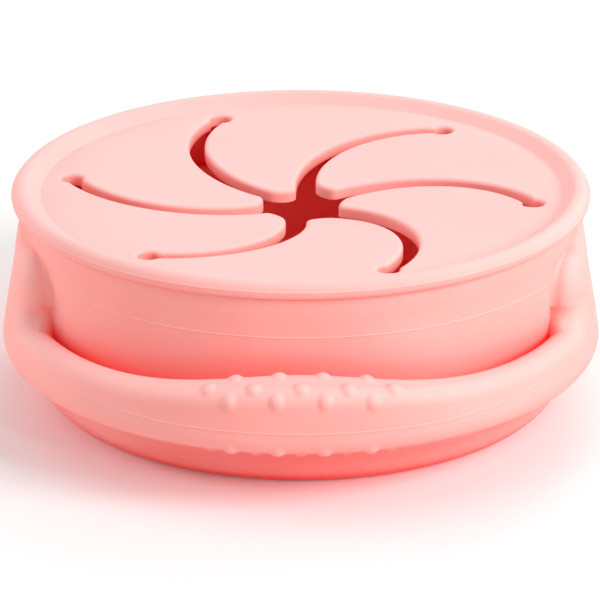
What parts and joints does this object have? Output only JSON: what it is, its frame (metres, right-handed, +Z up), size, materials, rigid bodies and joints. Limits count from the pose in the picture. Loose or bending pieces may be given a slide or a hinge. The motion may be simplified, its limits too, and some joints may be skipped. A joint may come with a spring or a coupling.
{
  "type": "toddler snack container",
  "caption": "Round soft silicone snack cup that folds flat, with two bow handles and a lid that snaps over its rim and whose curved flaps let a small hand in.",
  "frame": {"origin": "middle of the flat that the bowl stands on, under the centre of the part", "axes": "+Z up through the lid, -Y towards the front handle, +Y towards the rear handle, +X to the right as seen from the front"},
  "size_m": [0.1172, 0.1368, 0.0435],
  "materials": {
    "silicone_cup": "matte",
    "silicone_lid": "matte"
  },
  "bodies": {
    "bowl": {"bowl": "silicone_cup"},
    "fold_wall": {"fold_wall": "silicone_cup"},
    "cup_wall": {"cup_wall": "silicone_cup"},
    "lid": {"lid_rim": "silicone_lid"},
    "front_handle": {"front_handle": "silicone_cup"},
    "rear_handle": {"rear_handle": "silicone_cup"},
    "flap_1": {"flap_1": "silicone_lid"},
    "flap_2": {"flap_2": "silicone_lid"},
    "flap_3": {"flap_3": "silicone_lid"},
    "flap_4": {"flap_4": "silicone_lid"},
    "flap_5": {"flap_5": "silicone_lid"},
    "flap_6": {"flap_6": "silicone_lid"}
  },
  "joints": [
    {"name": "unfold", "type": "slide", "parent": "bowl", "child": "cup_wall", "axis": [0, 0, 1], "range_m": [0, 0.032]},
    {"name": "fold_follow", "type": "slide", "parent": "bowl", "child": "fold_wall", "axis": [0, 0, 1], "range_m": [0, 0.016]},
    {"name": "lid_off", "type": "slide", "parent": "cup_wall", "child": "lid", "axis": [0, 0, 1], "range_m": [0, 0.03]},
    {"name": "front_handle_flex", "type": "hinge", "parent": "cup_wall", "child": "front_handle", "pos_m": [0, -0.035, 0.0184], "axis": [-1, 0, 0], "range_deg": [-8, 12], "stiffness_Nm_per_rad": 1.5},
    {"name": "rear_handle_flex", "type": "hinge", "parent": "cup_wall", "child": "rear_handle", "pos_m": [0, 0.035, 0.0184], "axis": [1, 0, 0], "range_deg": [-8, 12], "stiffness_Nm_per_rad": 1.5},
    {"name": "flap_1_bend", "type": "hinge", "parent": "lid", "child": "flap_1", "pos_m": [0.03717, 0.01434, 0.0403], "axis": [-0.36, 0.933, 0], "range_deg": [-40, 25], "stiffness_Nm_per_rad": 0.08, "springref_deg": 0.4},
    {"name": "flap_2_bend", "type": "hinge", "parent": "lid", "child": "flap_2", "pos_m": [0.00616, 0.03936, 0.0403], "axis": [-0.988, 0.1547, 0], "range_deg": [-40, 25], "stiffness_Nm_per_rad": 0.08, "springref_deg": 0.4},
    {"name": "flap_3_bend", "type": "hinge", "parent": "lid", "child": "flap_3", "pos_m": [-0.031, 0.02502, 0.0403], "axis": [-0.628, -0.7782, 0], "range_deg": [-40, 25], "stiffness_Nm_per_rad": 0.08, "springref_deg": 0.4},
    {"name": "flap_4_bend", "type": "hinge", "parent": "lid", "child": "flap_4", "pos_m": [-0.03717, -0.01434, 0.0403], "axis": [0.36, -0.933, 0], "range_deg": [-40, 25], "stiffness_Nm_per_rad": 0.08, "springref_deg": 0.4},
    {"name": "flap_5_bend", "type": "hinge", "parent": "lid", "child": "flap_5", "pos_m": [-0.00616, -0.03936, 0.0403], "axis": [0.988, -0.1547, 0], "range_deg": [-40, 25], "stiffness_Nm_per_rad": 0.08, "springref_deg": 0.4},
    {"name": "flap_6_bend", "type": "hinge", "parent": "lid", "child": "flap_6", "pos_m": [0.031, -0.02502, 0.0403], "axis": [0.628, 0.7782, 0], "range_deg": [-40, 25], "stiffness_Nm_per_rad": 0.08, "springref_deg": 0.4}
  ],
  "couplings": [
    {"joint": "fold_follow", "follows": "unfold", "ratio": 0.5}
  ]
}
